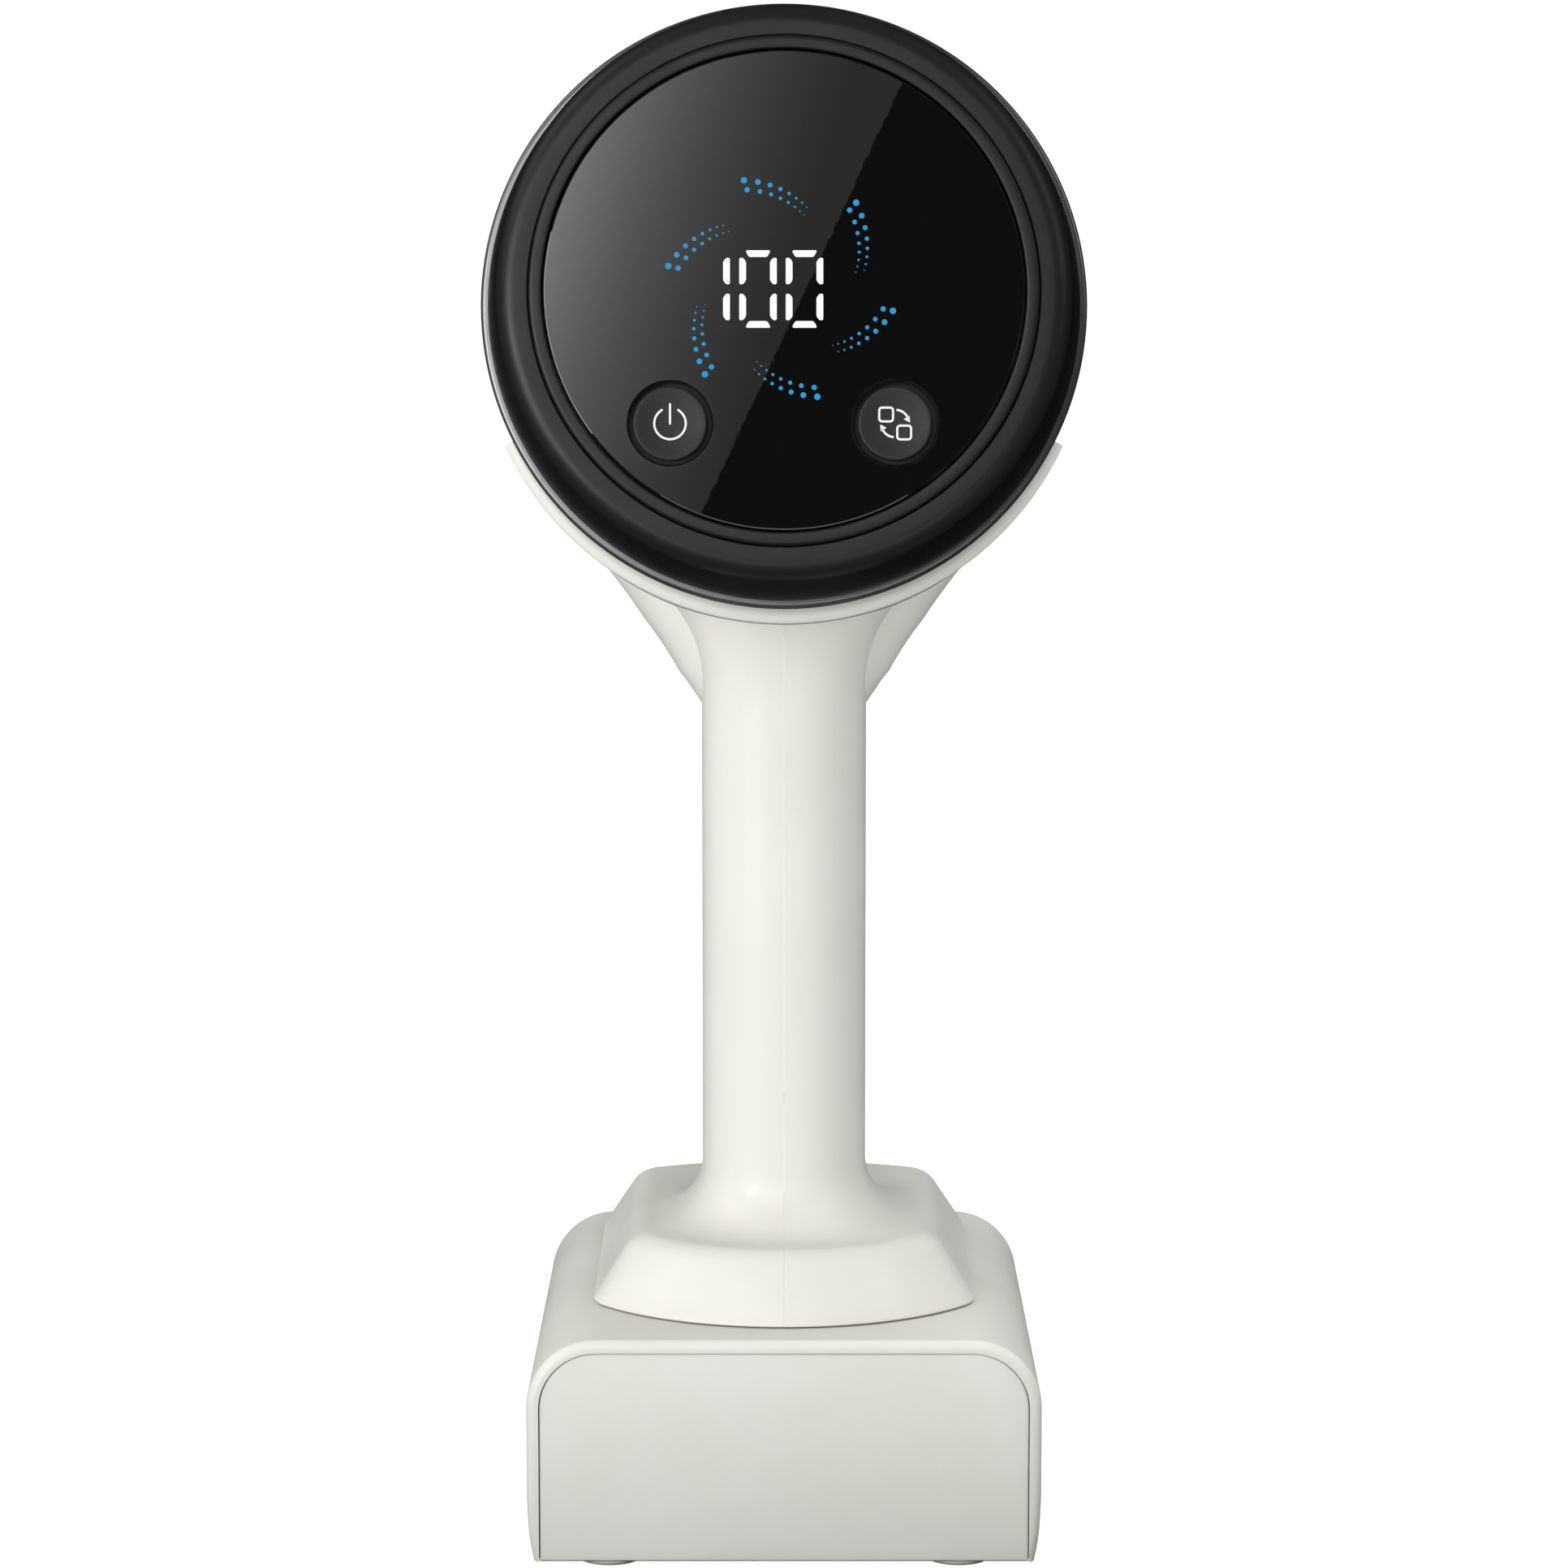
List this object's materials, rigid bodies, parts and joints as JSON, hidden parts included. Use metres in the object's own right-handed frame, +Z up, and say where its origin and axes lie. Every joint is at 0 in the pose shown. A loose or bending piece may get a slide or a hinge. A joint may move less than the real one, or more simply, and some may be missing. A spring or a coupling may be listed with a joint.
{
  "type": "cordless stick vacuum hand unit",
  "caption": "Cordless stick vacuum hand unit: round display head tilted on a cream grip and plinth, slide-off battery pack, twist-off filter, dust cup and inlet spigot.",
  "frame": {"origin": "on the table plane, in the middle of the overall length and width", "axes": "+Z up, +Y forward from the display towards the inlet, +X to the right when facing the display"},
  "size_m": [0.1098, 0.2476, 0.2891],
  "materials": {
    "cream_plastic": "satin cream moulding",
    "black_gloss": "gloss black moulding",
    "black_glass": "polished dark glass, backed black",
    "button_black": "fine matt texture",
    "silver_trim": "silver plated trim",
    "graphite_plastic": "dark grey moulding",
    "smoke_clear": "clear smoke-tinted moulding",
    "rubber_black": "black rubber",
    "foot_rubber": "soft cream rubber",
    "filter_white": "pleated filter paper",
    "circuit_green": "circuit board lacquer",
    "diffuser_white": "white diffuser",
    "motor_metal": "machined",
    "steel": "plain steel",
    "cell_blue": "cell wrapped in blue film",
    "contact_brass": "plated contact"
  },
  "bodies": {
    "main": {"display_glass": "black_glass", "display_bezel": "black_gloss", "display_light_guide": "diffuser_white", "display_board": "circuit_green", "display_carrier": "graphite_plastic", "display_stem": "graphite_plastic", "power_switch": "graphite_plastic", "mode_switch": "graphite_plastic", "motor_barrel": "cream_plastic", "motor_mount_rear": "graphite_plastic", "motor_can": "motor_metal", "motor_mount_front": "rubber_black", "cradle": "cream_plastic", "latch_housing": "cream_plastic", "cyclone_flange": "graphite_plastic", "cup_seal": "rubber_black", "cyclone_screen": "steel", "cyclone_skirt": "graphite_plastic", "handle_left_shell": "cream_plastic", "handle_right_shell": "cream_plastic", "handle_screw_lower": "steel", "handle_screw_upper": "steel", "rail_channel_left": "graphite_plastic", "rail_channel_right": "graphite_plastic", "battery_connector": "graphite_plastic", "control_board": "circuit_green"},
    "power_button": {"power_button": "button_black"},
    "mode_button": {"mode_button": "button_black"},
    "filter_unit": {"rear_cap": "black_gloss", "trim_ring": "silver_trim", "exhaust_grille": "graphite_plastic", "hepa_filter": "filter_white"},
    "rotor": {"impeller": "motor_metal"},
    "cup": {"dust_cup": "smoke_clear", "inlet_spigot": "graphite_plastic", "catch_housing": "graphite_plastic", "flap_pin": "steel"},
    "cup_release": {"cup_release_button": "graphite_plastic"},
    "wand_release": {"wand_release_button": "cream_plastic"},
    "flap": {"inlet_flap": "rubber_black"},
    "battery_pack": {"battery_sleeve": "cream_plastic", "battery_rear_panel": "cream_plastic", "battery_front_panel": "cream_plastic", "battery_base": "cream_plastic", "cell_holder_left": "graphite_plastic", "cell_holder_right": "graphite_plastic", "battery_management_board": "circuit_green", "pack_terminal": "contact_brass", "battery_cell_1": "cell_blue", "battery_cell_2": "cell_blue", "battery_cell_3": "cell_blue", "battery_cell_4": "cell_blue", "battery_cell_5": "cell_blue", "battery_cell_6": "cell_blue", "foot_rear_left": "foot_rubber", "foot_rear_right": "foot_rubber", "foot_front_left": "foot_rubber", "foot_front_right": "foot_rubber"},
    "pack_release": {"battery_release_button": "graphite_plastic"},
    "pack_latch": {"battery_latch": "graphite_plastic"}
  },
  "joints": [
    {"name": "power_button_press", "type": "slide", "parent": "main", "child": "power_button", "axis": [0, 0.9877, -0.1564], "range_m": [0, 0.0008], "stiffness_N_per_m": 400, "springref_m": -0.0005},
    {"name": "mode_button_press", "type": "slide", "parent": "main", "child": "mode_button", "axis": [0, 0.9877, -0.1564], "range_m": [0, 0.0008], "stiffness_N_per_m": 400, "springref_m": -0.0005},
    {"name": "filter_twist", "type": "hinge", "parent": "main", "child": "filter_unit", "pos_m": [0, -0.0943, 0.235], "axis": [0, 0.9877, -0.1564], "range_deg": [0, 30]},
    {"name": "rotor_spin", "type": "hinge", "parent": "main", "child": "rotor", "pos_m": [0, -0.04492, 0.22718], "axis": [0, 0.9877, -0.1564], "continuous": true},
    {"name": "dust_cup_slide", "type": "slide", "parent": "main", "child": "cup", "axis": [0, 0.9877, -0.1564], "range_m": [0, 0.1]},
    {"name": "cup_release_press", "type": "slide", "parent": "main", "child": "cup_release", "axis": [0, -0.1564, -0.9877], "range_m": [0, 0.0015], "stiffness_N_per_m": 400, "springref_m": -0.0005},
    {"name": "wand_release_press", "type": "slide", "parent": "cup", "child": "wand_release", "axis": [0, -0.1564, -0.9877], "range_m": [0, 0.002], "stiffness_N_per_m": 400, "springref_m": -0.0005},
    {"name": "inlet_flap_hinge", "type": "hinge", "parent": "cup", "child": "flap", "pos_m": [0, 0.08077, 0.22681], "axis": [-1, 0, 0], "range_deg": [0, 75]},
    {"name": "battery_slide", "type": "slide", "parent": "main", "child": "battery_pack", "axis": [0, 1, 0], "range_m": [0, 0.07]},
    {"name": "battery_release_press", "type": "slide", "parent": "battery_pack", "child": "pack_release", "axis": [0, -1, 0], "range_m": [0, 0.003], "stiffness_N_per_m": 500, "springref_m": -0.001},
    {"name": "battery_latch_drop", "type": "slide", "parent": "battery_pack", "child": "pack_latch", "axis": [0, 0, -1], "range_m": [0, 0.0034]}
  ],
  "couplings": [
    {"joint": "battery_latch_drop", "follows": "battery_release_press", "ratio": 1.1333}
  ]
}
